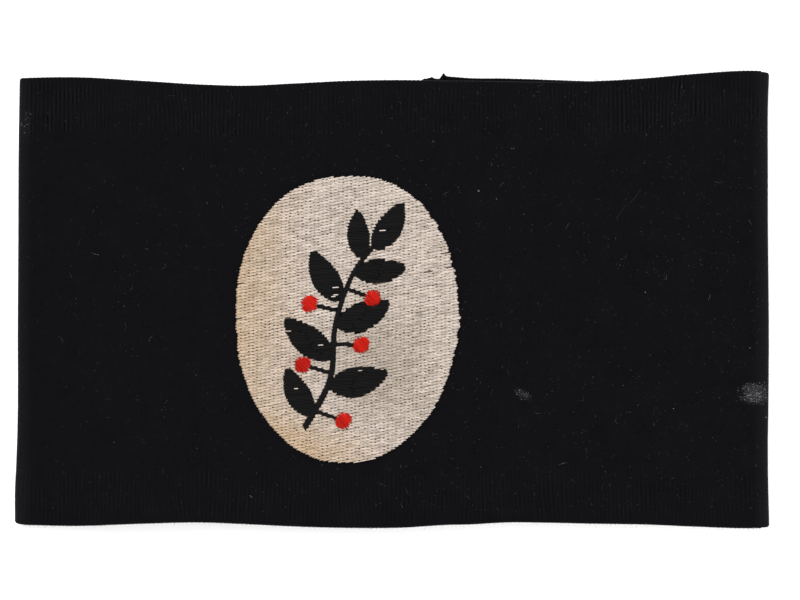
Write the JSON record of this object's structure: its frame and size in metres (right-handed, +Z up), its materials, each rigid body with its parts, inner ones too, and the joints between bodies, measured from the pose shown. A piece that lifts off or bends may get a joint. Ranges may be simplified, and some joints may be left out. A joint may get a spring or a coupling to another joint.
{
  "type": "knitted armband",
  "caption": "Flat-lying knitted armband with ribbed borders, a lapped back seam and an oval embroidered badge with a leafy sprig.",
  "frame": {"origin": "middle of the armband's outline, on the surface that it lies on", "axes": "+X from the left fold to the right one, seen from the badge's side; +Y along the arm; +Z up, out of the badge"},
  "size_m": [0.186, 0.1127, 0.0117],
  "materials": {
    "black_knit": "matte, slightly felted knit",
    "cream_thread": "dense embroidery with a slight thread sheen",
    "black_thread": "padded satin stitch with a slight sheen",
    "red_thread": "padded satin stitch with a slight sheen"
  },
  "bodies": {
    "root": {"band": "black_knit", "badge": "cream_thread", "sprig": "black_thread", "berry_1": "red_thread", "berry_2": "red_thread", "berry_3": "red_thread", "berry_4": "red_thread", "berry_5": "red_thread"}
  },
  "joints": []
}
